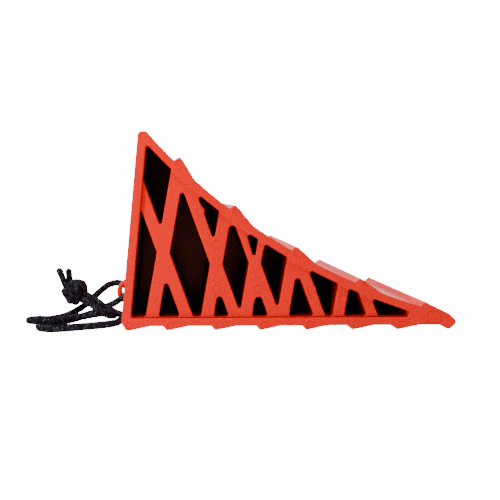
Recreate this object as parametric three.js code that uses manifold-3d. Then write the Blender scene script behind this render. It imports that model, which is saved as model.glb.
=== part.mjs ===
// Wheel chock: a one-piece moulded wedge with a cross-braced side, a ramp curved to the tyre, five
// tread cleats, a saw-toothed base and a lug on its back wall, and the knotted rope through that lug.
// Millimetres, +Z up. X runs along the wedge with the toe at +X, and Y runs across its width.
// Side outlines are drawn in a plane whose x starts at the heel corner and whose y is height. The rope's
// points start from the heel corner too. The finished part is moved so that X = 0 is the middle of the
// moulding's length, lug included.
import * as THREE from 'three';
import { mergeVertices } from 'three/addons/utils/BufferGeometryUtils.js';
import Module from 'manifold-3d';

const wasm = await Module();
wasm.setup();

// ---- Driving dimensions of the moulding
const HEEL_X = -121.9;             // the heel corner's place in the finished part
const WIDTH = 114;
const HEIGHT = 151.8;
const TYRE_RADIUS = 455;           // the ramp follows this tyre
const TYRE_CENTRE = [361.2, 452.4];
const WALL_LEAN = 0.0915;          // the back wall leans forward by this much for each mm up
const HEEL_HEIGHT = 5.6;
const BACK_THICKNESS = 6.9;
const RAMP_THICKNESS = 6.0;
const BASE_TOP = 9.3;
const CAVITY_END = 219.5;
const BRACE_RECESS = 3.0;          // the braces stand this far behind the rim's edge
const WEB_THICKNESS = 4.0;
const CORNER_RADIUS = 1.8;         // of the windows
const FAR_AWAY = 1000;             // well outside the part

// ---- Braces: where their centre lines meet the base, and how far they lean for each mm up
const FORWARD_FEET = [23.3, 65.6, 95.1, 123.6, 166.0];
const FORWARD_LEAN = 0.18;
const BACKWARD_FEET = [50.0, 87.3, 117.3, 152.0, 192.5];
const BACKWARD_LEAN = -0.36;
const braceWidth = (foot) => 10.4 - 0.011 * foot;
const NOTCH_WINDOW = [[95.7, 74.2], [104.9, 68.6], [102.3, 52.6]];   // the odd one, high in the middle

// ---- Cleats: the angle of each valley round the tyre, from the toe up
const VALLEY_ANGLES = [17.0, 23.7, 30.6, 37.7, 44.8];
const CLEAT_ANGLE = 2.78;          // the flank runs this far down the ramp
const CLEAT_HEIGHT = 4.75;

// ---- Base teeth
const TOOTH_DEPTH = 3.2;
const TOOTH_TIPS = [34.8, 71.4, 105.6, 140.6, 175.6, 209.8];
const TOOTH_FRONT = 3.0;
const TOOTH_LAND = 1.4;
const TOOTH_BACK = 16.5;

// ---- Rope lug
const LUG_RADIUS = 11;
const LUG_HOLE_RADIUS = 7.6;
const LUG_WIDTH = 8;
const LUG_CENTRE = [0.2, 19.0];
const LUG_BITE = 2.8;              // how far the lug's ends run into the wall

// ---- Rope: one braided length through the lug, its two strands knotted together with short tails.
// The strands meet in the lug's hole, and 0.3 mm is left between touching stretches.
const ROPE_DIAMETER = 5.4;
const ROPE_SIDES = 10;
const STEP_LENGTH = 5.6;           // the rope bends too tightly for longer steps
const KNOT_CENTRE = [-45.6, -11, 20.9];
const KNOT_SIZE = [9.9, 9.7, 9.9];   // half sizes
const FAR_STRAND = [
  [-2.2, 0.16, 19.3], [-2.4, 5.9, 20.4], [-6.8, 11.6, 22.6], [-13, 14.6, 23.8], [-20.4, 13.2, 22.4],
  [-26.7, 8.6, 18.3], [-32.4, 2.5, 13.3], [-38.4, -5.8, 8.3], [-45.6, -15.2, 4.6],
  [-52.5, -23.8, 2.8], [-59.3, -30.6, 2.8], [-66.2, -35.6, 2.8], [-71.4, -40.2, 3.6],
  [-73.1, -45.4, 5.4], [-70.6, -51.6, 7.2], [-65, -54.2, 8.3], [-57.4, -53.9, 8.2], [-50, -51, 7.2],
  [-42.5, -46.4, 6.6], [-35, -42, 7], [-27.6, -39.2, 7.8], [-20.2, -37.4, 8.6], [-13.6, -34.6, 8.3],
  [-9.6, -29.4, 5.9], [-10.8, -23.6, 3.5], [-15.8, -20.1, 3], [-22.2, -19.4, 6.2],
  [-28.6, -18.2, 10.4], [-35.8, -17.2, 14.4],
];
const NEAR_STRAND = [
  [-2.2, -0.16, 19.3], [-2.1, -4.8, 18], [-4.5, -8.6, 16], [-9.2, -10.6, 12.8], [-15.2, -9.2, 9.2],
  [-21.7, -6.3, 6], [-28, -9.2, 3.4], [-33.6, -16.8, 2.8], [-38, -25.6, 2.8], [-42.8, -33, 2.8],
  [-48.4, -38, 2.8], [-54.8, -40.4, 2.8], [-61.3, -43.5, 2.8], [-64, -50.2, 2.8], [-61.3, -56.9, 2.8],
  [-54.5, -59.9, 2.8], [-47, -59.7, 2.8], [-38, -57.4, 2.8], [-28, -54.4, 2.8], [-18.5, -51.4, 2.8],
  [-11, -48.2, 2.8], [-5.6, -43.6, 2.8], [-3.4, -37, 2.8], [-3.2, -30, 2.8], [-3.4, -23.4, 2.8],
  [-5.8, -17.6, 2.8], [-10.4, -14.8, 3.6], [-15, -14.3, 5.8], [-20.6, -13.8, 8.6],
  [-27.8, -12.8, 13.8], [-35, -13, 18],
];
const LONG_TAIL = [[-52.9, -13.5, 28.6], [-54.8, -14, 32.2], [-57, -14.2, 36.7], [-59.2, -14.2, 41.7]];
const SHORT_TAIL = [[-50.3, -8.2, 30], [-51.6, -7.8, 35], [-52.3, -7.6, 40.3]];

const radians = (degrees) => degrees * Math.PI / 180;
const wallX = (height) => (height - HEEL_HEIGHT) * WALL_LEAN;

// A point on the ramp: the angle is that of the tyre at this point, and lift is its height off the ramp.
function onRamp(angle, lift = 0) {
  const reach = TYRE_RADIUS - lift;
  const turn = radians(angle);
  return [TYRE_CENTRE[0] - reach * Math.sin(turn), TYRE_CENTRE[1] - reach * Math.cos(turn)];
}

// Rounds the corners of an outline of [x, y, radius] points.
function rounded(corners, steps = 4) {
  const outline = [];
  corners.forEach(([x, y, radius = 0], i) => {
    const corner = new THREE.Vector2(x, y);
    const before = new THREE.Vector2(...corners.at(i - 1)).sub(corner);
    const after = new THREE.Vector2(...corners[(i + 1) % corners.length]).sub(corner);
    const room = 0.48 * Math.min(before.length(), after.length());
    const half = before.angleTo(after) / 2;
    if (radius === 0 || half > radians(88.5)) {
      outline.push(corner);
      return;
    }
    const setback = Math.min(radius / Math.tan(half), room);
    const r = setback * Math.tan(half);
    const start = corner.clone().addScaledVector(before.normalize(), setback);
    const end = corner.clone().addScaledVector(after.normalize(), setback);
    const inward = before.clone().add(after).normalize();
    const centre = corner.clone().addScaledVector(inward, r / Math.sin(half));
    const first = start.sub(centre).angle();
    let sweep = end.sub(centre).angle() - first;
    sweep -= 2 * Math.PI * Math.round(sweep / (2 * Math.PI));
    for (let k = 0; k <= steps; k++) {
      const turn = first + sweep * k / steps;
      outline.push(new THREE.Vector2(centre.x + r * Math.cos(turn), centre.y + r * Math.sin(turn)));
    }
  });
  return outline;
}

// The side outline, from the heel tooth along the base, round the toe and up the ramp to the top.
function outerOutline() {
  const corners = [[4.4, 0, 0.8], [5.8, 0, 0.5], [22, TOOTH_DEPTH, 6]];
  for (const tip of TOOTH_TIPS) {
    corners.push([tip - TOOTH_FRONT, TOOTH_DEPTH, 1], [tip - 0.2, 0, 0.4]);
    corners.push([tip - 0.2 + TOOTH_LAND, 0, 0.4], [tip + TOOTH_BACK, TOOTH_DEPTH, 6]);
  }
  corners.push([243.4, TOOTH_DEPTH, 1], [248.2, 0, 0.5], [249.6, 0, 1], [256.6, 5.4, 4.6], [249.2, 12, 4]);
  VALLEY_ANGLES.forEach((valley, i) => {
    if (i > 0) {
      const start = VALLEY_ANGLES[i - 1];
      const kink = valley - CLEAT_ANGLE;
      for (let k = 1; k < 3; k++) corners.push(onRamp(start + (kink - start) * k / 3));
      corners.push([...onRamp(kink), 6]);
    }
    corners.push([...onRamp(valley - 0.3, i > 0 ? CLEAT_HEIGHT : 4.4), 2.4], [...onRamp(valley), 0.8]);
  });
  const last = VALLEY_ANGLES.at(-1);
  for (let k = 1; k < 3; k++) corners.push(onRamp(last + 1.25 * k));
  corners.push([20.0, HEIGHT, 3], [wallX(HEIGHT), HEIGHT, 4.6], [0, HEEL_HEIGHT, 3]);
  return rounded(corners);
}

// The edge of the hollow inside the rim: base, ramp side and back wall.
function innerOutline() {
  const reach = TYRE_RADIUS + RAMP_THICKNESS;
  const toe = Math.asin((TYRE_CENTRE[0] - CAVITY_END) / reach) * 180 / Math.PI;
  const underRamp = (angle) => onRamp(angle, -RAMP_THICKNESS);
  const wallInside = (height) => wallX(height) + BACK_THICKNESS;
  let top = toe;
  while (underRamp(top)[0] > wallInside(underRamp(top)[1])) top += 0.01;
  const outline = [[wallInside(BASE_TOP), BASE_TOP], [CAVITY_END, BASE_TOP]];
  const steps = 14;
  for (let k = 0; k <= steps; k++) outline.push(underRamp(toe + (top - toe) * k / steps));
  return outline;
}

// Keeps the part of an outline where a x + b y <= c.
function clipped(outline, a, b, c) {
  const kept = [];
  outline.forEach((p, i) => {
    const q = outline[(i + 1) % outline.length];
    const atP = a * p[0] + b * p[1] - c;
    const atQ = a * q[0] + b * q[1] - c;
    if (atP <= 0) kept.push(p);
    if (atP * atQ < 0) {
      const t = atP / (atP - atQ);
      kept.push([p[0] + t * (q[0] - p[0]), p[1] + t * (q[1] - p[1])]);
    }
  });
  return kept;
}

// The open strips between the braces of one family, as pairs of feet on the base.
function openStrips(feet) {
  const sides = feet.flatMap((foot) => [foot - braceWidth(foot) / 2, foot + braceWidth(foot) / 2]);
  const edges = [-FAR_AWAY, ...sides, FAR_AWAY];
  const strips = [];
  for (let i = 0; i < edges.length; i += 2) strips.push([edges[i], edges[i + 1]]);
  return strips;
}

function insideStrip(outline, [low, high], lean) {
  const left = clipped(outline, -1, lean, lean * BASE_TOP - low);
  return clipped(left, 1, -lean, high - lean * BASE_TOP);
}

const onRim = ([x, y]) => Math.abs(Math.hypot(x - TYRE_CENTRE[0], y - TYRE_CENTRE[1]) - TYRE_RADIUS
  - RAMP_THICKNESS) < 0.15;

// A window's edge along the rim is one straight line, and its corners are rounded.
function windowOutline(outline) {
  const corners = outline.filter((p, i) => {
    const beside = [outline.at(i - 1), outline[(i + 1) % outline.length]];
    return !(onRim(p) && beside.every(onRim));
  });
  return rounded(corners.map((p) => [...p, CORNER_RADIUS]), 3);
}

// The windows: what is left of the hollow between the two families of braces.
function windowOutlines() {
  const found = [windowOutline(NOTCH_WINDOW)];
  for (const forward of openStrips(FORWARD_FEET)) {
    for (const backward of openStrips(BACKWARD_FEET)) {
      const slice = insideStrip(innerOutline(), forward, FORWARD_LEAN);
      const piece = insideStrip(slice, backward, BACKWARD_LEAN);
      const area = Math.abs(THREE.ShapeUtils.area(piece.map((p) => new THREE.Vector2(...p))));
      if (area > 20) found.push(windowOutline(piece));
    }
  }
  return found;
}

// Extrudes a side outline across the width, from y = near to y = far.
function slab(points, near, far) {
  const shape = new THREE.Shape(points.map((p) => (p.isVector2 ? p : new THREE.Vector2(...p))));
  const geometry = new THREE.ExtrudeGeometry(shape, { depth: far - near, bevelEnabled: false });
  geometry.rotateX(Math.PI / 2);
  geometry.translate(0, far, 0);
  return geometry;
}

function toSolid(geometry) {
  const bare = geometry.clone();
  bare.deleteAttribute('normal');
  bare.deleteAttribute('uv');
  const merged = mergeVertices(bare, 1e-4);
  const vertProperties = new Float32Array(merged.attributes.position.array);
  const triVerts = new Uint32Array(merged.index.array);
  return new wasm.Manifold(new wasm.Mesh({ numProp: 3, vertProperties, triVerts }));
}

function toGeometry(solid) {
  const { vertProperties, triVerts } = solid.getMesh();
  const geometry = new THREE.BufferGeometry();
  geometry.setAttribute('position', new THREE.BufferAttribute(new Float32Array(vertProperties), 3));
  geometry.setIndex(new THREE.BufferAttribute(new Uint32Array(triVerts), 1));
  geometry.computeVertexNormals();
  return geometry;
}

// The lug is a C whose two ends run into the back wall, which closes its hole.
function lugOutline() {
  const outline = [];
  const arc = (radius, from, to) => {
    for (let k = 0; k <= 16; k++) {
      const turn = from + (to - from) * k / 16;
      outline.push([LUG_CENTRE[0] + radius * Math.cos(turn), LUG_CENTRE[1] + radius * Math.sin(turn)]);
    }
  };
  const outer = Math.acos(LUG_BITE / LUG_RADIUS);
  const inner = Math.acos(LUG_BITE / LUG_HOLE_RADIUS);
  arc(LUG_RADIUS, outer, 2 * Math.PI - outer);
  arc(LUG_HOLE_RADIUS, 2 * Math.PI - inner, inner);
  return outline;
}

function chockBody() {
  const half = WIDTH / 2;
  const lug = toSolid(slab(lugOutline(), -LUG_WIDTH / 2, LUG_WIDTH / 2));
  let solid = toSolid(slab(outerOutline(), -half, half)).add(lug);
  const hollow = rounded(innerOutline().map((p) => [...p, 2]), 3);
  const windows = windowOutlines();
  for (const side of [-1, 1]) {
    const cut = (outline, from, to) => {
      const [near, far] = [side * from, side * to].sort((a, b) => a - b);
      solid = solid.subtract(toSolid(slab(outline, near, far)));
    };
    cut(hollow, half - BRACE_RECESS, half + 1);
    windows.forEach((outline) => cut(outline, WEB_THICKNESS / 2, half));
  }
  return toGeometry(solid);
}

const redPlastic = () => new THREE.MeshStandardMaterial({ color: '#f0412f', roughness: 0.45, metalness: 0 });
const blackBraid = () => new THREE.MeshStandardMaterial({ color: '#1d1d1f', roughness: 0.9, metalness: 0 });

function moulding() {
  const mesh = new THREE.Mesh(chockBody(), redPlastic());
  mesh.name = 'chock_body';
  return mesh;
}

// A plain tube along a route of points.
function ropeStretch(name, route) {
  const curve = new THREE.CatmullRomCurve3(route.map((p) => new THREE.Vector3(...p)), false, 'centripetal');
  const section = new THREE.Shape(new THREE.EllipseCurve(0, 0, ROPE_DIAMETER / 2, ROPE_DIAMETER / 2)
    .getPoints(ROPE_SIDES).slice(1));
  const steps = Math.max(2, Math.round(curve.getLength() / STEP_LENGTH));
  const geometry = new THREE.ExtrudeGeometry(section, { steps, extrudePath: curve, bevelEnabled: false });
  const mesh = new THREE.Mesh(geometry, blackBraid());
  mesh.name = name;
  return mesh;
}

// The knot's outer shape.
function ropeKnot() {
  const mesh = new THREE.Mesh(new THREE.SphereGeometry(1, 24, 16), blackBraid());
  mesh.name = 'rope_knot';
  mesh.scale.set(...KNOT_SIZE);
  mesh.position.set(...KNOT_CENTRE);
  return mesh;
}

const chock = new THREE.Group();
chock.add(moulding());
chock.add(ropeStretch('rope_far_strand', FAR_STRAND));
chock.add(ropeStretch('rope_near_strand', NEAR_STRAND));
chock.add(ropeKnot());
chock.add(ropeStretch('rope_long_tail', LONG_TAIL));
chock.add(ropeStretch('rope_short_tail', SHORT_TAIL));
chock.position.x = HEEL_X;

export default chock;
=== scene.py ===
"""Looks of the wheel chock: a moulded red plastic wedge and the braided rope tied through its lug.

Outlines are in millimetres in the side plane, x from the heel corner and z up, as the part is drawn.
Blender objects are in metres, +X towards the toe, +Y across the width and +Z up."""

import math

import bmesh
import bpy
import numpy as np
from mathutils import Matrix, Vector
from mathutils.geometry import delaunay_2d_cdt


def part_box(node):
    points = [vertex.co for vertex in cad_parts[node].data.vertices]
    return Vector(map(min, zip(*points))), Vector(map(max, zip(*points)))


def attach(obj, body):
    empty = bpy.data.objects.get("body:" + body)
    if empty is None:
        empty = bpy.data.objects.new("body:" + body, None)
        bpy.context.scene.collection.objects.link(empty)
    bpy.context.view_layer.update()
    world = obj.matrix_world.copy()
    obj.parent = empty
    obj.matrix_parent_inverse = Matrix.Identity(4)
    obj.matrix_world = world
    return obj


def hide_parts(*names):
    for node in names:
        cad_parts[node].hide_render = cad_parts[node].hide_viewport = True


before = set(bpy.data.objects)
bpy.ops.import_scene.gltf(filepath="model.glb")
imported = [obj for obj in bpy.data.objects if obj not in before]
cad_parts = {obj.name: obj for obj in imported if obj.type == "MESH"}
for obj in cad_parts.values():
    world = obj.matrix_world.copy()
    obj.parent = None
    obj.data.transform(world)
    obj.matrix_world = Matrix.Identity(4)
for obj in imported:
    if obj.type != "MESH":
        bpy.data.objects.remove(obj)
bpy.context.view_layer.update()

MM = 0.001

# ---- The moulding's driving dimensions
LUG_RADIUS = 11
LUG_HOLE_RADIUS = 7.6
LUG_PLUMPNESS = 0.4
LUG_WIDTH = 8
LUG_CENTRE = (0.2, 19.0)
LUG_BITE = 2.8
LUG_STEPS = 44
LUG_SIDES = 20
LUG_SQUARENESS = (0.7, 0.55)                # a power for the section's thickness and one for its width
LUG_FLARE = 0.8
LUG_FLARE_REACH = 0.9
BODY_LOW, BODY_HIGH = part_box("chock_body")
HEEL_X = BODY_LOW.x / MM + LUG_RADIUS - LUG_CENTRE[0]
HALF_WIDTH = BODY_HIGH.y / MM
HEIGHT = BODY_HIGH.z / MM
TYRE_RADIUS = 455
TYRE_CENTRE = (361.2, 452.4)
WALL_LEAN = 0.0915
HEEL_HEIGHT = 5.6
BACK_THICKNESS = 6.9
RAMP_THICKNESS = 6.0
BASE_TOP = 9.3
CAVITY_END = 219.5
CAVITY_CORNER = 2.2
CAVITY_SPACING = 3
CORNER_STEPS = 7       # edges round each corner of the cavity and the windows
BRACE_RECESS = 3.0
HALF_WEB = 2.0
LEDGE = 0.16           # the windows stop this far short of the rim's inside
DRAFT = 0.12           # the windows narrow by this much on each side, on the way down to the web
EDGE_ROUND = 0.55      # of the free edges
LIP_ROUND = 0.8        # of the windows' edges
LEAST_LIP = 0.05       # where a window's edge nearly touches the rim or a mark
FOOT_ROUND = 0.06      # where the braces meet the rim
WEB_ROUND = 0.12       # where the windows meet the web
SHADE_STEPS = (2, 4, 7, 11, 16, 24, 36)     # rows down the windows' walls
CLEARANCE = 0.12       # between a mark or a window's lip and the nearest edge

FORWARD_FEET = (23.3, 65.6, 95.1, 123.6, 166.0)
FORWARD_LEAN = 0.18
BACKWARD_FEET = (50.0, 87.3, 117.3, 152.0, 192.5)
BACKWARD_LEAN = -0.36
BRACE_WIDTH = 10.4     # along the base, at the heel
BRACE_TAPER = 0.011    # how much narrower the feet get for each millimetre towards the toe
BEYOND = 1000          # further than any foot
BLUNT_CORNERS = (((104.1, 33.2), 3.1), ((72.9, 33.2), 2.4), ((133.8, 46.5), 2.4), ((85.2, 90.2), 2.9),
                 ((85.2, 83.0), 2.5), ((7.4, 9.4), 2.1), ((219.3, 9.4), 2.1), ((219.3, 13.6), 2.1))
WINDOW_RADIUS = 1.8
BOTTOM_RADIUS = 1.3    # where two braces cross below a window
WALL_CORNER = 0.35     # of the windows' corners against the back wall, between these heights
WALL_CORNER_HEIGHTS = (60, 110)
LEAST_WINDOW = 20      # square millimetres
SPARE_EDGE = 0.3       # two roundings may overlap by this much before their edge is dropped
WINDOW_SPACING = 0.6
NOTCH_WINDOW = ((95.6, 74.6), (105.2, 68.8), (102.3, 52.0))

# ---- The outer edge. Corners are x, z and radius
HEEL_RADIUS = 3.6
PEAK_RADIUS = 4.6
PEAK_FRONT = (20.0, HEIGHT, 3)
VALLEY_ANGLES = (17.0, 23.7, 30.6, 37.7, 44.8)
VALLEY_RADIUS = 0.8
CLEAT_ANGLE = 2.78     # of a cleat's rise, before its valley
KINK_RADIUS = 6
LAST_STEP = 0.625      # degrees between points on the ramp above the last valley
# each crest's corners from the toe end: degrees before the valley, lift off the ramp, radius
CRESTS = (
    ((0.3, 4.4, 2.4),),
    ((0.3, 4.75, 2.4),),
    ((0.3, 4.75, 2.4),),
    ((0.75, 4.5, 2.0), (0.2, 4.9, 1.4)),
    ((0.75, 4.6, 2.0), (0.2, 5.0, 1.4)),
)

TOOTH_DEPTH = 3.2
TOOTH_TIPS = (34.8, 71.4, 105.6, 140.6, 175.6, 209.8)
TOOTH_FRONT = 3.0
TOOTH_LEAD = 0.2       # the flat tip starts this far before the tip's place
TOOTH_LAND = 1.4
TOOTH_BACK = 16.5
HEEL_CORNERS = ((3.6, 0, 2.4), (6.8, 0, 0.8), (22, TOOTH_DEPTH, 6))
TOE_CORNERS = ((243.4, TOOTH_DEPTH, 1), (248.2, 0, 0.8), (249.6, 0, 1), (256.6, 5.4, 4.6), (249.2, 12, 4))

# ---- Ejector pin marks: x, z and radius
CLEAT_MARKS = ((44.6, 126.6, 3.3), (87.7, 89.9, 3.3), (134.3, 58.1, 3.3), (184.7, 34.3, 3.3))
TOE_MARK = (237.4, 9.6, 5.6)
BASE_MARKS = [(5.9, 4.6, 3.0)] + [(tip + 2.9, 4.3, 3.0) for tip in TOOTH_TIPS]
BRACE_MARKS = ((60.0, 90.6, 3.6), (73.0, 65.3, 3.8), (72.6, 30.4, 3.8), (105.3, 30.7, 3.8),
               (145.2, 29.8, 3.7), (168.9, 22.4, 3.7))
MARK_SIDES = 28
# from the rim of an ejector pin mark inwards: growth, height and depth of painted shade, which darkens the
# ring's groove
MARK_RING = ((0, 0, 0), (-0.3, 0.3, 0), (-0.55, 0.3, 0), (-0.85, -0.1, 1.15), (-1.2, 0, 0))
BULGE = 0.35           # a window's edge stays this far from a mark
BULGE_FADE = 2         # and is smoothed this far round the bulge
BULGE_PASSES = 10

# ---- The red plastic. Its colour is darkened down in the windows with painted shade, to match the picture
DULLER_RED = (0.74, 0.0022, 0.0008, 1)
BRIGHTER_RED = (0.9, 0.0052, 0.0018, 1)
PAINTED_SHADE_DEPTH = 20
# position down to PAINTED_SHADE_DEPTH, and the share of its colour that the plastic keeps there, as painted
# shade
PAINTED_SHADE_BY_DEPTH = ((0.035, (1, 1, 1, 1)), (0.06, (0.4, 0.4, 0.4, 1)), (0.3, (0.15, 0.15, 0.15, 1)),
                (0.8, (0.006, 0.006, 0.006, 1)))
CREASE_SHADE_DEPTH = 10      # the crease between the base and the braces' feet gets painted shade as dark as this far down a window

# ---- The floor's glow, straight to the camera and in reflections
FLOOR_GLOW = 14.0
FLOOR_SHEEN = 1.2

# ---- The rope: its route is the part's own, from the heel corner, in metres
ROPE_DIAMETER = 0.0054
KNOT_ROPE_DIAMETER = 0.0051
KNOT_SPREAD = 0.0023
BRAID_SIDES = 40
BRAID_YARNS = 8        # in each direction
BRAID_LAY = 0.019
BRAID_RELIEF = 0.0004
YARN_CURVE = 1.7       # how steeply a yarn falls off to its sides
YARN_DIP = 0.45        # how much of its height a yarn loses where it goes under the next
PAINTED_GLINT_FROM = 0.55      # the height above which a yarn's top gets a painted highlight
# the weakest painted highlight at a crossing of yarns
LEAST_PAINTED_GLINT = 0.3
ROPE_SPACING = 0.0003
TAIL_END = 0.2         # the cut tip's radius, as a share of the rope's
BRAID_DARK = (0.0065, 0.0056, 0.0085, 1)
# the colour of the painted highlights on the yarns' tops
BRAID_PAINTED_GLINT = (0.12, 0.114, 0.132, 1)
FAR_STRAND = [
    (-0.0022, 0.00016, 0.0193), (-0.0024, 0.0059, 0.0204), (-0.0068, 0.0116, 0.0226),
    (-0.013, 0.0146, 0.0238), (-0.0204, 0.0132, 0.0224), (-0.0267, 0.0086, 0.0183),
    (-0.0324, 0.0025, 0.0133), (-0.0384, -0.0058, 0.0083), (-0.0456, -0.0152, 0.0046),
    (-0.0525, -0.0238, 0.0028), (-0.0593, -0.0306, 0.0028), (-0.0662, -0.0356, 0.0028),
    (-0.0714, -0.0402, 0.0036), (-0.0731, -0.0454, 0.0054), (-0.0706, -0.0516, 0.0072),
    (-0.065, -0.0542, 0.0083), (-0.0574, -0.0539, 0.0082), (-0.05, -0.051, 0.0072),
    (-0.0425, -0.0464, 0.0066), (-0.035, -0.042, 0.007), (-0.0276, -0.0392, 0.0078),
    (-0.0202, -0.0374, 0.0086), (-0.0136, -0.0346, 0.0083), (-0.0096, -0.0294, 0.0059),
    (-0.0108, -0.0236, 0.0035), (-0.0158, -0.0201, 0.003), (-0.0222, -0.0194, 0.0062),
    (-0.0286, -0.0182, 0.0104), (-0.0358, -0.0172, 0.0144),
]
NEAR_STRAND = [
    (-0.0022, -0.00016, 0.0193), (-0.0021, -0.0048, 0.018), (-0.0045, -0.0086, 0.016),
    (-0.0092, -0.0106, 0.0128), (-0.0152, -0.0092, 0.0092), (-0.0217, -0.0063, 0.006),
    (-0.028, -0.0092, 0.0034), (-0.0336, -0.0168, 0.0028), (-0.038, -0.0256, 0.0028),
    (-0.0428, -0.033, 0.0028), (-0.0484, -0.038, 0.0028), (-0.0548, -0.0404, 0.0028),
    (-0.0613, -0.0435, 0.0028), (-0.064, -0.0502, 0.0028), (-0.0613, -0.0569, 0.0028),
    (-0.0545, -0.0599, 0.0028), (-0.047, -0.0597, 0.0028), (-0.038, -0.0574, 0.0028),
    (-0.028, -0.0544, 0.0028), (-0.0185, -0.0514, 0.0028), (-0.011, -0.0482, 0.0028),
    (-0.0056, -0.0436, 0.0028), (-0.0034, -0.037, 0.0028), (-0.0032, -0.03, 0.0028),
    (-0.0034, -0.0234, 0.0028), (-0.0058, -0.0176, 0.0028), (-0.0104, -0.0148, 0.0036),
    (-0.015, -0.0143, 0.0058), (-0.0206, -0.0138, 0.0086), (-0.0278, -0.0128, 0.0138),
    (-0.035, -0.013, 0.018),
]
LONG_TAIL = [(-0.0535, -0.0135, 0.0275), (-0.0548, -0.014, 0.0312), (-0.057, -0.0142, 0.0365),
             (-0.0592, -0.0142, 0.0417)]
SHORT_TAIL = [(-0.0508, -0.0082, 0.0295), (-0.0517, -0.0078, 0.035), (-0.0523, -0.0076, 0.0403)]
KNOT_CENTRE = (-0.0456, -0.011, 0.0209)
# the strands' way through the knot, from its centre: +x, towards the camera and up. Its turns are
# invented to give the knot's outline, and inside it the rope passes through itself
KNOT = [
    (0.0045, 0.0044, -0.0024), (-0.0020, 0.0046, 0.0026), (-0.0076, 0.0024, 0.0036),
    (-0.0082, -0.0030, -0.0008), (-0.0036, -0.0058, -0.0058), (0.0034, -0.0054, -0.0042),
    (0.0078, -0.0014, 0.0014), (0.0062, 0.0030, 0.0062), (0.0006, 0.0052, 0.0074),
    (0.0014, 0.0086, 0.0022), (0.0018, 0.0080, -0.0036), (-0.0010, 0.0036, -0.0078),
    (-0.0048, -0.0020, -0.0056), (-0.0058, -0.0022, 0.0030),
]


# ======== Camera

CAMERA_LENS = 33.92
CAMERA_SHIFT = (0.126, -0.105)
CAMERA_PLACE = (0.0506, -0.415, 0.1011)     # from the heel corner
CAMERA_ROLL = 0.3


def make_camera():
    data = bpy.data.cameras.new("camera")
    data.lens = CAMERA_LENS
    data.shift_x, data.shift_y = CAMERA_SHIFT
    camera = bpy.data.objects.new("camera", data)
    bpy.context.scene.collection.objects.link(camera)
    camera.location = (HEEL_X * MM + CAMERA_PLACE[0], CAMERA_PLACE[1], CAMERA_PLACE[2])
    camera.rotation_euler = (math.radians(90), math.radians(CAMERA_ROLL), 0)
    bpy.context.scene.camera = camera


# ======== Outlines

def wall_x(height):
    """The back wall's outside at this height."""
    return (height - HEEL_HEIGHT) * WALL_LEAN


def on_ramp(angle, lift=0.0):
    """A point on the ramp at this angle round the tyre, lifted off the ramp."""
    reach = TYRE_RADIUS - lift
    turn = math.radians(angle)
    return (TYRE_CENTRE[0] - reach * math.sin(turn), TYRE_CENTRE[1] - reach * math.cos(turn))


def rounded(corners, steps=6):
    """Rounds an outline of (x, z, radius) corners."""
    outline = []
    count = len(corners)
    for i, (x, z, radius) in enumerate(corners):
        corner = np.array((x, z))
        before = np.array(corners[i - 1][:2]) - corner
        after = np.array(corners[(i + 1) % count][:2]) - corner
        room = 0.48 * min(np.linalg.norm(before), np.linalg.norm(after))
        before /= np.linalg.norm(before)
        after /= np.linalg.norm(after)
        half = math.acos(np.clip(before @ after, -1, 1)) / 2
        if radius == 0 or half > math.radians(88.5):
            outline.append(corner)
            continue
        setback = min(radius / math.tan(half), room)
        r = setback * math.tan(half)
        inward = (before + after) / np.linalg.norm(before + after)
        centre = corner + inward * r / math.sin(half)
        start = corner + before * setback - centre
        end = corner + after * setback - centre
        first = math.atan2(start[1], start[0])
        sweep = (math.atan2(end[1], end[0]) - first + math.pi) % (2 * math.pi) - math.pi
        for k in range(steps + 1):
            turn = first + sweep * k / steps
            outline.append(centre + r * np.array((math.cos(turn), math.sin(turn))))
    outline = np.array(outline)
    return outline[np.linalg.norm(outline - np.roll(outline, 1, axis=0), axis=1) > 0.01]


def signed_area(outline):
    x, z = np.asarray(outline, float).T[:2]
    return 0.5 * float(np.sum(x * np.roll(z, -1) - np.roll(x, -1) * z))


def anticlockwise(outline):
    return outline if signed_area(outline) > 0 else outline[::-1]


def outer_outline():
    """From the heel tooth along the base, round the toe and up the ramp to the top."""
    corners = list(HEEL_CORNERS)
    for tip in TOOTH_TIPS:
        corners += [(tip - TOOTH_FRONT, TOOTH_DEPTH, 1.2), (tip - TOOTH_LEAD, 0, 0.6)]
        corners += [(tip - TOOTH_LEAD + TOOTH_LAND, 0, 0.6), (tip + TOOTH_BACK, TOOTH_DEPTH, 6)]
    corners += TOE_CORNERS
    for i, valley in enumerate(VALLEY_ANGLES):
        if i > 0:
            start = VALLEY_ANGLES[i - 1]
            kink = valley - CLEAT_ANGLE
            corners += [(*on_ramp(start + (kink - start) * k / 6), 0) for k in range(1, 6)]
            corners.append((*on_ramp(kink), KINK_RADIUS))
        corners += [(*on_ramp(valley - turn, lift), radius) for turn, lift, radius in CRESTS[i]]
        corners.append((*on_ramp(valley), VALLEY_RADIUS))
    corners += [(*on_ramp(VALLEY_ANGLES[-1] + LAST_STEP * k), 0) for k in range(1, 5)]
    corners += [PEAK_FRONT, (wall_x(HEIGHT), HEIGHT, PEAK_RADIUS), (0, HEEL_HEIGHT, HEEL_RADIUS)]
    return anticlockwise(rounded(corners))


def inner_corners(inset=0.0):
    """The edge of the hollow inside the rim, or a smaller one that leaves a ledge."""
    reach = TYRE_RADIUS + RAMP_THICKNESS + inset
    end = CAVITY_END - inset
    base = BASE_TOP + inset
    toe = math.degrees(math.asin((TYRE_CENTRE[0] - end) / reach))
    top = toe
    while True:
        x, z = on_ramp(top, TYRE_RADIUS - reach)
        if x <= wall_x(z) + BACK_THICKNESS + inset:
            break
        top += 0.01
    steps = 30
    curve = [on_ramp(toe + (top - toe) * k / steps, TYRE_RADIUS - reach) for k in range(steps + 1)]
    return [(wall_x(base) + BACK_THICKNESS + inset, base), (end, base)] + curve


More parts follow.
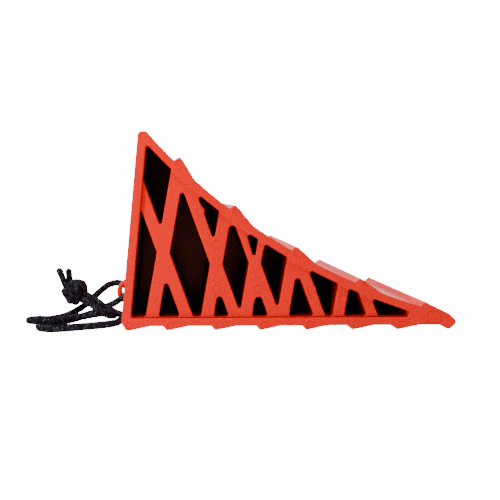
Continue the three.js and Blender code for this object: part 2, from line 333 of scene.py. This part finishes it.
def clipped(outline, a, b, c):
    """Keeps the part of an outline where a x + b z <= c."""
    kept = []
    for i, p in enumerate(outline):
        q = outline[(i + 1) % len(outline)]
        at_p = a * p[0] + b * p[1] - c
        at_q = a * q[0] + b * q[1] - c
        if at_p <= 0:
            kept.append(p)
        if at_p * at_q < 0:
            t = at_p / (at_p - at_q)
            kept.append((p[0] + t * (q[0] - p[0]), p[1] + t * (q[1] - p[1])))
    return kept


def open_strips(feet):
    """The open strips between the braces of one family, as pairs of feet on the base."""
    edges = [-BEYOND]
    for foot in feet:
        half = (BRACE_WIDTH - BRACE_TAPER * foot) / 2
        edges += [foot - half, foot + half]
    edges.append(BEYOND)
    return [(edges[i], edges[i + 1]) for i in range(0, len(edges), 2)]


def meeting(a, b, c, d):
    """Where the lines a b and c d cross."""
    ab, cd = np.subtract(b, a), np.subtract(d, c)
    across = ab[0] * cd[1] - ab[1] * cd[0]
    if abs(across) < 1e-9:
        return None
    t = ((c[0] - a[0]) * cd[1] - (c[1] - a[1]) * cd[0]) / across
    return (a[0] + t * ab[0], a[1] + t * ab[1]) if t > 0 else None


def setback(a, b, c, radius):
    """How far from the corner b its rounding starts."""
    u, v = np.subtract(a, b), np.subtract(c, b)
    cosine = u @ v / np.linalg.norm(u) / np.linalg.norm(v)
    return radius / math.tan(math.acos(np.clip(cosine, -1, 1)) / 2)


def without_short_edges(corners, radius):
    """Drops each edge that its two rounded corners would use up."""
    corners = list(corners)
    i = 0
    while i < len(corners) and len(corners) > 3:
        a, b, c, d = (corners[(i + k) % len(corners)] for k in (-1, 0, 1, 2))
        needed = setback(a, b, c, radius(b)) + setback(b, c, d, radius(c)) - SPARE_EDGE
        spot = meeting(a, b, d, c) if math.dist(b, c) < needed else None
        if spot is None or signed_area([a, spot, d]) * signed_area(corners) < 0:
            i += 1
            continue
        corners[i] = spot
        corners.pop((i + 1) % len(corners))
        i = 0
    return corners


def corner_radius(corner):
    """The radius of a window's corner, from the height of the corner and what is there."""
    x, z = corner
    low, high = WALL_CORNER_HEIGHTS
    if x < wall_x(z) + BACK_THICKNESS + LEDGE + 0.3 and low < z < high:
        return WALL_CORNER
    for spot, radius in BLUNT_CORNERS:
        if math.dist(corner, spot) < 3:
            return radius
    return WINDOW_RADIUS


def window_outlines():
    """The openings between the braces of both families, with their corners rounded."""
    hollow = inner_corners(LEDGE)
    reach = TYRE_RADIUS + RAMP_THICKNESS + LEDGE

    def on_rim(p):
        return abs(math.dist(p, TYRE_CENTRE) - reach) < 0.15

    found = [list(NOTCH_WINDOW)]
    for low, high in open_strips(FORWARD_FEET):
        for left, right in open_strips(BACKWARD_FEET):
            piece = hollow
            for foot, end, lean in ((low, high, FORWARD_LEAN), (left, right, BACKWARD_LEAN)):
                piece = clipped(piece, -1, lean, lean * BASE_TOP - foot)
                piece = clipped(piece, 1, -lean, end - lean * BASE_TOP)
            if len(piece) > 2 and abs(signed_area(piece)) > LEAST_WINDOW:
                count = len(piece)
                inside = [on_rim(piece[i - 1]) and on_rim(piece[i]) and on_rim(piece[(i + 1) % count])
                          for i in range(count)]
                found.append([p for p, dropped in zip(piece, inside) if not dropped])
    outlines = []
    for corners in found:
        lowest = min(z for x, z in corners)

        def radius(p):
            return BOTTOM_RADIUS if p[1] == lowest > BASE_TOP + 2 else corner_radius(p)

        corners = without_short_edges(corners, radius)
        outline = anticlockwise(rounded([(*p, radius(p)) for p in corners], CORNER_STEPS))
        outlines.append(round_the_marks(under_the_ramp(spaced(outline, WINDOW_SPACING))))
    return outlines


def under_the_ramp(outline):
    """Bends a window's straight top edge to follow the ramp."""
    away = outline - TYRE_CENTRE
    distance = np.linalg.norm(away, axis=1)
    least = TYRE_RADIUS + RAMP_THICKNESS + LEDGE
    return TYRE_CENTRE + away * (np.maximum(distance, least) / distance)[:, None]


def spaced(outline, longest):
    """Adds points along edges that are longer than this."""
    points = []
    for i, p in enumerate(outline):
        q = outline[(i + 1) % len(outline)]
        pieces = max(1, math.ceil(math.dist(p, q) / longest))
        points += [p + (q - p) * k / pieces for k in range(pieces)]
    return np.array(points)


def round_the_marks(outline):
    """A window's edge bulges round each ejector pin mark that it would cut into."""
    for x, z, radius in BRACE_MARKS:
        if np.min(np.linalg.norm(outline - (x, z), axis=1)) > radius + BULGE:
            continue
        for _ in range(BULGE_PASSES):
            away = outline - (x, z)
            distance = np.linalg.norm(away, axis=1)[:, None]
            pushed = (x, z) + away * (radius + BULGE) / distance
            outline = np.where(distance < radius + BULGE, pushed, outline)
            blurred = (np.roll(outline, 1, axis=0) + 2 * outline + np.roll(outline, -1, axis=0)) / 4
            outline = np.where(distance < radius + BULGE + BULGE_FADE, blurred, outline)
    return outline


MITRE_LIMIT = 1.2


def grown(outline, by):
    """The outline moved outwards by this distance, which may differ from point to point."""
    ahead = np.roll(outline, -1, axis=0) - outline
    ahead /= np.linalg.norm(ahead, axis=1)[:, None]
    behind = np.roll(ahead, 1, axis=0)
    normals = np.stack((ahead[:, 1] + behind[:, 1], -ahead[:, 0] - behind[:, 0]), axis=1)
    # a sharp corner isn't moved all the way out, so that it doesn't become a spike
    normals /= np.maximum(np.sum(normals ** 2, axis=1), MITRE_LIMIT)[:, None] / 2
    return outline + normals * np.broadcast_to(by, len(outline))[:, None]


def distance_to(outline, points):
    """How far each point is from the outline."""
    starts = np.asarray(outline, float)
    edges = np.roll(starts, -1, axis=0) - starts
    away = np.atleast_2d(points)[:, None] - starts
    along = np.clip(np.sum(away * edges, axis=2) / np.sum(edges ** 2, axis=1), 0, 1)
    return np.min(np.linalg.norm(away - along[..., None] * edges, axis=2), axis=1)


def inside(triangles, walls):
    """The triangles reached from outside by crossing an odd number of walls."""
    def sides(triangle):
        return [frozenset((triangle[i - 1], triangle[i])) for i in range(3)]

    sharing = {}
    for number, triangle in enumerate(triangles):
        for edge in sides(triangle):
            sharing.setdefault(edge, []).append(number)
    reached = {}
    waiting = [(numbers[0], edge in walls) for edge, numbers in sharing.items() if len(numbers) == 1]
    while waiting:
        number, odd = waiting.pop()
        if number in reached:
            continue
        reached[number] = odd
        for edge in sides(triangles[number]):
            waiting += [(other, odd != (edge in walls)) for other in sharing[edge] if other not in reached]
    return [triangles[number] for number, odd in reached.items() if odd]


# ======== The moulding

class Shell:
    """Collects the loops and faces of one closed skin, in side-plane millimetres."""

    def __init__(self):
        self.points = []
        # how far down a window each point is, which sets its painted shade
        self.shade_depths = []
        self.faces = []

    def loop(self, outline, y, depth=0.0):
        start = len(self.points)
        self.points += [((HEEL_X + x) * MM, y * MM, z * MM) for x, z in outline]
        self.shade_depths += [depth] * len(outline)
        return list(range(start, len(self.points)))

    def bridge(self, first, second):
        count = len(first)
        for i in range(count):
            j = (i + 1) % count
            self.faces.append((first[i], first[j], second[j], second[i]))

    def rows(self, outline, steps, mouth=HALF_WIDTH):
        """Rows of the outline, grown and placed as the steps say. Gives back the first and last."""
        # each row's depth below the mouth sets the painted shade of its points
        loops = [self.loop(grown(outline, growth), y, max(mouth - abs(y), 0)) for growth, y in steps]
        for first, second in zip(loops, loops[1:]):
            self.bridge(first, second)
        return loops[0], loops[-1]

    def fill(self, outer, holes=()):
        """Flat triangles inside one loop and outside the others."""
        loops = [outer, *holes]
        flat = [index for loop in loops for index in loop]
        spots = np.array([(self.points[i][0], self.points[i][2]) for i in flat]) / MM
        edges = []
        start = 0
        for loop in loops:
            edges += [(start + i, start + (i + 1) % len(loop)) for i in range(len(loop))]
            start += len(loop)
        found = delaunay_2d_cdt([Vector(spot) for spot in spots], edges, [], 0, 1e-6)
        triangles = [[found[3][i][0] for i in triangle] for triangle in found[2]]
        for triangle in inside(triangles, {frozenset(edge) for edge in edges}):
            self.faces.append(tuple(flat[i] for i in triangle))

    def mark(self, x, z, radius, y, side):
        """A disc inside a slight ring. Gives back the hole that it needs."""
        turns = np.linspace(0, 2 * np.pi, MARK_SIDES, endpoint=False)
        disc = np.array((x, z)) + radius * np.stack((np.cos(turns), np.sin(turns)), axis=1)
        # the ring's groove gets a little painted shade through its depth
        loops = [self.loop(grown(disc, growth), y + side * up, depth) for growth, up, depth in MARK_RING]
        for first, second in zip(loops, loops[1:]):
            self.bridge(first, second)
        self.fill(loops[-1])
        return loops[0]

    def mesh(self, name):
        mesh = bpy.data.meshes.new(name)
        mesh.from_pydata(self.points, [], self.faces)
        # the depths go to the material, which paints shade into the colour by them
        mesh.attributes.new("depth", "FLOAT", "POINT").data.foreach_set("value", self.shade_depths)
        return mesh


def quarter(radius, steps=4):
    """(how far in, how far up) along a quarter circle, from upright to level."""
    turns = [math.pi / 2 * k / steps for k in range(steps + 1)]
    return [(radius * (1 - math.cos(t)), radius * math.sin(t)) for t in turns]


def moulding_side(shell, outer, hollow, windows, side):
    """One side of the moulding. Gives back the edge loop of its outer wall."""
    rim, brace = HALF_WIDTH, HALF_WIDTH - BRACE_RECESS
    edge = [(-inward, side * (rim - EDGE_ROUND + up)) for inward, up in quarter(EDGE_ROUND)]
    wall, rim_edge = shell.rows(outer, edge, 0)
    steps = [(inward, side * (rim - EDGE_ROUND + up)) for inward, up in reversed(quarter(EDGE_ROUND))]
    steps += [(-inward, side * (brace + FOOT_ROUND - up)) for inward, up in quarter(FOOT_ROUND, 2)]
    rim_inside, floor_edge = shell.rows(hollow, steps, 0)
    # painted shade along the crease where the braces' feet meet the base
    for index in range(rim_inside[-1] + 1, floor_edge[0]):
        if shell.points[index][2] < (BASE_TOP + 0.5) * MM and abs(shell.points[index][1]) < (rim - 1) * MM:
            shell.shade_depths[index] = CREASE_SHADE_DEPTH
    marks = []
    for x, z, radius in (*CLEAT_MARKS, TOE_MARK, *BASE_MARKS):
        room = distance_to(outer, (x, z))[0] - EDGE_ROUND - CLEARANCE
        marks.append(shell.mark(x, z, min(radius, room), side * rim, side))
    shell.fill(rim_edge, [rim_inside, *marks])
    holes = [shell.mark(x, z, radius, side * brace, side) for x, z, radius in BRACE_MARKS]
    for window in windows:
        gap = distance_to(hollow, window) - FOOT_ROUND
        for x, z, radius in BRACE_MARKS:
            gap = np.minimum(gap, np.linalg.norm(window - (x, z), axis=1) - radius)
        for reach in range(1, 5):
            gap = np.minimum(gap, np.minimum(np.roll(gap, reach), np.roll(gap, -reach)))
        lip = np.clip(gap - CLEARANCE, LEAST_LIP, LIP_ROUND)
        steps = [(lip * inward, side * (brace - lip.max() * (1 - up)))
                 for inward, up in reversed(quarter(1.0))]
        steps += [(-DRAFT * down / brace, side * (brace - down)) for down in SHADE_STEPS]
        steps += [(-DRAFT - inward, side * (HALF_WEB + WEB_ROUND - up))
                  for inward, up in quarter(WEB_ROUND, 2)]
        top, bottom = shell.rows(window, steps, brace)
        holes.append(top)
        shell.fill(bottom)
    shell.fill(floor_edge, holes)
    return wall


def lug_mesh():
    """A C of rounded section whose ends run into the back wall, flaring as they meet it."""
    shell = Shell()
    middle = (LUG_RADIUS + LUG_HOLE_RADIUS) / 2
    thick = (LUG_RADIUS - LUG_HOLE_RADIUS) / 2 + LUG_PLUMPNESS
    reach = math.acos(LUG_BITE / middle)
    rings = []
    for k in range(LUG_STEPS + 1):
        turn = reach + (2 * math.pi - 2 * reach) * k / LUG_STEPS
        out = np.array((math.cos(turn), math.sin(turn)))
        centre = np.array(LUG_CENTRE) + middle * out
        off_wall = wall_x(centre[1]) - centre[0]
        flare = LUG_FLARE * math.exp(-max(off_wall, 0) / LUG_FLARE_REACH)
        ring = []
        for step in range(LUG_SIDES):
            around = 2 * math.pi * step / LUG_SIDES
            c, s = math.cos(around), math.sin(around)
            radial = (thick + flare) * math.copysign(abs(c) ** LUG_SQUARENESS[0], c)
            across = (LUG_WIDTH / 2 + flare) * math.copysign(abs(s) ** LUG_SQUARENESS[1], s)
            ring += shell.loop([centre + out * radial], across)
        rings.append(ring)
    for first, second in zip(rings, rings[1:]):
        shell.bridge(first, second)
    shell.faces += [tuple(rings[0]), tuple(reversed(rings[-1]))]
    return shell.mesh("lug")


def outward(mesh):
    """Turns every face of a closed mesh outwards."""
    work = bmesh.new()
    work.from_mesh(mesh)
    bmesh.ops.recalc_face_normals(work, faces=work.faces)
    work.to_mesh(mesh)
    work.free()


def link(name, mesh):
    piece = bpy.data.objects.new(name, mesh)
    bpy.context.scene.collection.objects.link(piece)
    return piece


def applied(piece):
    """Makes the piece's modifiers permanent."""
    bpy.context.view_layer.update()
    evaluated = piece.evaluated_get(bpy.context.evaluated_depsgraph_get())
    mesh = bpy.data.meshes.new_from_object(evaluated)
    piece.modifiers.clear()
    old = piece.data
    piece.data = mesh
    bpy.data.meshes.remove(old)


def make_moulding():
    shell = Shell()
    outer = outer_outline()
    hollow = rounded([(*p, CAVITY_CORNER) for p in inner_corners()], CORNER_STEPS)
    hollow = spaced(anticlockwise(hollow), CAVITY_SPACING)
    windows = window_outlines()
    near = moulding_side(shell, outer, hollow, windows, -1)
    far = moulding_side(shell, outer, hollow, windows, 1)
    shell.bridge(near, far)
    body = link("moulding", shell.mesh("moulding"))
    outward(body.data)
    lug = link("lug", lug_mesh())
    outward(lug.data)
    join = body.modifiers.new("lug", "BOOLEAN")
    join.operation = "UNION"
    join.object = lug
    join.solver = "EXACT"
    applied(body)
    bpy.data.objects.remove(lug)
    outward(body.data)
    body.data.shade_smooth()
    body.modifiers.new("flat faces stay flat", "WEIGHTED_NORMAL").weight = 80
    body.data.materials.clear()
    body.data.materials.append(red_plastic())
    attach(body, "root")
    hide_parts("chock_body")


# ======== The rope

def smooth_route(points, spacing):
    """Even points along the centripetal curve through a route."""
    points = np.array(points, float)
    ends = [2 * points[0] - points[1], *points, 2 * points[-1] - points[-2]]
    fine = []
    for p0, p1, p2, p3 in zip(ends, ends[1:], ends[2:], ends[3:]):
        d0, d1, d2 = (math.sqrt(np.linalg.norm(b - a)) for a, b in ((p0, p1), (p1, p2), (p2, p3)))
        start = ((p1 - p0) / d0 - (p2 - p0) / (d0 + d1) + (p2 - p1) / d1) * d1
        finish = ((p2 - p1) / d1 - (p3 - p1) / (d1 + d2) + (p3 - p2) / d2) * d1
        for t in np.linspace(0, 1, 40, endpoint=False):
            square, cube = t * t, t * t * t
            fine.append((2 * cube - 3 * square + 1) * p1 + (cube - 2 * square + t) * start
                        + (3 * square - 2 * cube) * p2 + (cube - square) * finish)
    fine = np.array([*fine, points[-1]])
    along = np.concatenate(([0], np.cumsum(np.linalg.norm(np.diff(fine, axis=0), axis=1))))
    even = np.linspace(0, along[-1], max(2, round(along[-1] / spacing)) + 1)
    return np.stack([np.interp(even, along, fine[:, k]) for k in range(3)], axis=1)


def braided(name, path, material, diameter=ROPE_DIAMETER, tail=False):
    """A mesh tube along a path, its skin raised into the crossing yarns of a braid and flat on the floor."""
    tangents = np.gradient(path, axis=0)
    tangents /= np.linalg.norm(tangents, axis=1)[:, None]
    normal = Vector(tangents[0]).orthogonal().normalized()
    along = np.concatenate(([0], np.cumsum(np.linalg.norm(np.diff(path, axis=0), axis=1))))
    turns = np.linspace(0, 2 * np.pi, BRAID_SIDES, endpoint=False)
    points = []
    painted_glints = []
    for centre, tangent, distance in zip(path, tangents, along):
        tangent = Vector(tangent)
        normal = (normal - tangent * normal.dot(tangent)).normalized()
        side = tangent.cross(normal)
        right = (turns / (2 * np.pi) + distance / BRAID_LAY) * BRAID_YARNS
        left = (turns / (2 * np.pi) - distance / BRAID_LAY) * BRAID_YARNS
        right_on_top = (np.floor(right) + np.floor(left)) % 2 < 1
        across = np.where(right_on_top, right, left) % 1 - 0.5
        lengthways = np.where(right_on_top, left, right) % 1 - 0.5
        crest = 1 - YARN_DIP + YARN_DIP * np.cos(np.pi * lengthways)
        height = np.sqrt(1 - (YARN_CURVE * across) ** 2) * crest
        radius = diameter / 2 + BRAID_RELIEF * (height - 0.5)
        gone = (along[-1] - distance) / (diameter / 2)
        if tail and gone < 1:
            radius = radius * math.sqrt(max(1 - (1 - gone) ** 2, TAIL_END ** 2))
        skin = centre + np.outer(np.cos(turns) * radius, normal) + np.outer(np.sin(turns) * radius, side)
        skin[:, 2] = np.maximum(skin[:, 2], 0)
        points.append(skin)
        # the same share from 0 to 1 each time for one crossing of yarns, with no pattern to be seen
        chance = np.sin(np.floor(right) * 12.99 + np.floor(left) * 78.23) * 43758.5 % 1
        strength = LEAST_PAINTED_GLINT + (1 - LEAST_PAINTED_GLINT) * chance ** 2
        # painted highlight: a lighter colour on the tops of the yarns, where glints would fall
        painted_glints.append(np.clip((height - PAINTED_GLINT_FROM) / (1 - PAINTED_GLINT_FROM), 0, 1) * strength)
    count = len(path)
    faces = []
    for i in range(count - 1):
        for j in range(BRAID_SIDES):
            k = (j + 1) % BRAID_SIDES
            near, far = i * BRAID_SIDES, (i + 1) * BRAID_SIDES
            faces.append((near + j, near + k, far + k, far + j))
    faces.append(tuple(range(BRAID_SIDES - 1, -1, -1)))
    faces.append(tuple(range((count - 1) * BRAID_SIDES, count * BRAID_SIDES)))
    mesh = bpy.data.meshes.new(name)
    mesh.from_pydata(np.concatenate(points).tolist(), [], faces)
    mesh.attributes.new("painted_glint", "FLOAT", "POINT").data.foreach_set("value", np.concatenate(painted_glints))
    mesh.shade_smooth()
    mesh.materials.append(material)
    return link(name, mesh)


def from_heel(route):
    """A route given from the heel corner, in the frame's place."""
    return [(x + HEEL_X * MM, y, z) for x, y, z in route]


def make_knot(material):
    """The two strands go through the knot side by side and leave it as tails."""
    line = np.array(KNOT) * (1, -1, 1)
    tangents = np.gradient(line, axis=0)
    apart = np.cross(tangents, line)
    apart /= np.linalg.norm(apart, axis=1)[:, None]
    centre = np.array(KNOT_CENTRE)
    pieces = []
    for name, sign, strand, tail in (("knot_near_rope", 1, NEAR_STRAND, LONG_TAIL),
                                     ("knot_far_rope", -1, FAR_STRAND, SHORT_TAIL)):
        inside_knot = centre + line + sign * KNOT_SPREAD * apart
        path = smooth_route(from_heel([*strand[-2:], *inside_knot, *tail]), ROPE_SPACING)
        pieces.append(braided(name, path, material, KNOT_ROPE_DIAMETER, tail=True))
    return pieces


def make_rope():
    """Two strands, which meet end to end in the lug, and their ends through the knot."""
    material = black_braid()
    knots = make_knot(material)
    for name, strand, knot, drawn in (("far_rope", FAR_STRAND, knots[1], "rope_far_strand"),
                                      ("near_rope", NEAR_STRAND, knots[0], "rope_near_strand")):
        path = smooth_route(from_heel(strand), ROPE_SPACING)
        piece = braided(name, path, material)
        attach(piece, "root")
        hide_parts(drawn)
        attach(knot, "root")
    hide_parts("rope_knot", "rope_long_tail")
    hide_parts("rope_short_tail")


# ======== Materials

def shader(name):
    """A new node material and its principled shader."""
    material = bpy.data.materials.new(name)
    material.use_nodes = True
    return material, material.node_tree.nodes["Principled BSDF"]


def add(material, kind, inputs=(), **settings):
    """A new node with these inputs, each a number, a colour or another node's output."""
    node = material.node_tree.nodes.new(kind)
    for key, value in settings.items():
        setattr(node, key, value)
    for key, value in dict(inputs).items():
        if hasattr(value, "links"):
            material.node_tree.links.new(value, node.inputs[key])
        else:
            node.inputs[key].default_value = value
    return node


def between(ramp, first, last):
    """Sets the two ends of a colour ramp, each a position and a colour."""
    ends = ramp.color_ramp.elements
    ends[0].position, ends[0].color = first
    ends[1].position, ends[1].color = last


def red_plastic():
    """Red all over, with shade painted into the colour itself down in the windows."""
    material, principled = shader("red_plastic")
    links = material.node_tree.links
    place = add(material, "ShaderNodeTexCoord").outputs["Object"]
    blotch = add(material, "ShaderNodeTexNoise", {"Vector": place, "Scale": 1000.0, "Detail": 2.0})
    red = add(material, "ShaderNodeValToRGB", {"Fac": blotch.outputs["Fac"]})
    between(red, (0.3, DULLER_RED), (0.7, BRIGHTER_RED))
    # painted shade: the colour is darkened by how far down a window each point is, where little light
    # reaches
    depth = add(material, "ShaderNodeAttribute", attribute_name="depth")
    scaled = add(material, "ShaderNodeMath", {0: depth.outputs["Fac"], 1: 1 / PAINTED_SHADE_DEPTH},
                 operation="MULTIPLY")
    painted_shade = add(material, "ShaderNodeValToRGB", {"Fac": scaled.outputs[0]})
    between(painted_shade, PAINTED_SHADE_BY_DEPTH[0], PAINTED_SHADE_BY_DEPTH[-1])
    for position, colour in PAINTED_SHADE_BY_DEPTH[1:-1]:
        painted_shade.color_ramp.elements.new(position).color = colour
    mixed = add(material, "ShaderNodeMix", {"Factor": 1.0}, data_type="RGBA", blend_type="MULTIPLY")
    links.new(red.outputs["Color"], mixed.inputs["A"])
    links.new(painted_shade.outputs["Color"], mixed.inputs["B"])
    links.new(mixed.outputs["Result"], principled.inputs["Base Color"])
    principled.inputs["Roughness"].default_value = 0.32
    principled.inputs["Specular IOR Level"].default_value = 0.25
    principled.inputs["Specular Tint"].default_value = (1, 0.22, 0.17, 1)
    grain = add(material, "ShaderNodeTexNoise", {"Vector": place, "Scale": 900.0, "Detail": 2.0})
    bump = add(material, "ShaderNodeBump",
               {"Height": grain.outputs["Fac"], "Strength": 0.2, "Distance": 0.0004})
    links.new(bump.outputs["Normal"], principled.inputs["Normal"])
    return material


def black_braid():
    """Near black, with highlights painted as light flecks on the tops of the yarns."""
    material, principled = shader("black_braid")
    links = material.node_tree.links
    place = add(material, "ShaderNodeTexCoord").outputs["Object"]
    fibre = add(material, "ShaderNodeTexNoise", {"Vector": place, "Scale": 1600.0, "Detail": 2.0})
    # painted highlight on the yarns' tops, broken up by the fibre noise
    painted_glint = add(material, "ShaderNodeAttribute", attribute_name="painted_glint")
    glint_share = add(material, "ShaderNodeMath", {0: painted_glint.outputs["Fac"], 1: fibre.outputs["Fac"]},
                 operation="MULTIPLY")
    ramp = add(material, "ShaderNodeValToRGB", {"Fac": glint_share.outputs[0]})
    between(ramp, (0.1, BRAID_DARK), (0.5, BRAID_PAINTED_GLINT))
    links.new(ramp.outputs["Color"], principled.inputs["Base Color"])
    principled.inputs["Roughness"].default_value = 0.7
    principled.inputs["Specular IOR Level"].default_value = 0.0
    bump = add(material, "ShaderNodeBump",
               {"Height": fibre.outputs["Fac"], "Strength": 0.3, "Distance": 0.0002})
    links.new(bump.outputs["Normal"], principled.inputs["Normal"])
    return material


def studio_white():
    """A pale floor whose glow shows to the camera and in reflections, and lights nothing else."""
    material, principled = shader("studio_white")
    principled.inputs["Base Color"].default_value = (0.82, 0.82, 0.83, 1)
    principled.inputs["Roughness"].default_value = 0.9
    principled.inputs["Specular IOR Level"].default_value = 0.1
    rays = add(material, "ShaderNodeLightPath").outputs
    seen = add(material, "ShaderNodeMath", {0: rays["Is Camera Ray"], 1: FLOOR_GLOW}, operation="MULTIPLY")
    mirrored = add(material, "ShaderNodeMath", {0: rays["Is Glossy Ray"], 1: FLOOR_SHEEN},
                   operation="MULTIPLY")
    glow = add(material, "ShaderNodeMath", {0: seen.outputs[0], 1: mirrored.outputs[0]}, operation="ADD")
    principled.inputs["Emission Color"].default_value = (1, 1, 1, 1)
    material.node_tree.links.new(glow.outputs[0], principled.inputs["Emission Strength"])
    return material


# ======== Floor and light

def make_floor():
    """A pale floor that sweeps up into a backdrop."""
    depth, bend, rise, half = 1.6, 0.6, 2.2, 3.0
    profile = [(-2.5, 0.0), (depth - bend, 0.0)]
    for k in range(1, 13):
        turn = math.pi / 2 * k / 12
        profile.append((depth - bend + bend * math.sin(turn), bend - bend * math.cos(turn)))
    profile.append((depth, rise))
    points = [(x, y, z) for y, z in profile for x in (-half, half)]
    faces = [(2 * i, 2 * i + 1, 2 * i + 3, 2 * i + 2) for i in range(len(profile) - 1)]
    mesh = bpy.data.meshes.new("floor")
    mesh.from_pydata(points, [], faces)
    mesh.shade_smooth()
    mesh.materials.append(studio_white())
    floor = link("floor", mesh)


def area_light(name, place, target, size, power):
    data = bpy.data.lights.new(name, "AREA")
    data.shape = "RECTANGLE"
    data.size, data.size_y = size
    data.energy = power
    light = bpy.data.objects.new(name, data)
    light.location = place
    light.rotation_euler = (Vector(target) - Vector(place)).to_track_quat("-Z", "Y").to_euler()
    bpy.context.scene.collection.objects.link(light)


def make_light():
    area_light("key", (-0.66, -0.52, 0.26), (-0.03, -0.05, 0.06), (0.16, 0.16), 5.5)
    area_light("front_top", (-0.16, -0.36, 0.85), (-0.05, -0.05, 0.08), (0.3, 0.3), 7.5)
    area_light("top", (0.1, 0.55, 1.0), (0, 0.05, 0), (0.9, 0.6), 10)
    world = bpy.data.worlds.new("world")
    world.use_nodes = True
    sky = world.node_tree.nodes["Background"].inputs
    sky["Color"].default_value = (0.9, 0.92, 1, 1)
    sky["Strength"].default_value = 0.08
    bpy.context.scene.world = world


make_camera()
make_rope()
make_moulding()
make_floor()
make_light()
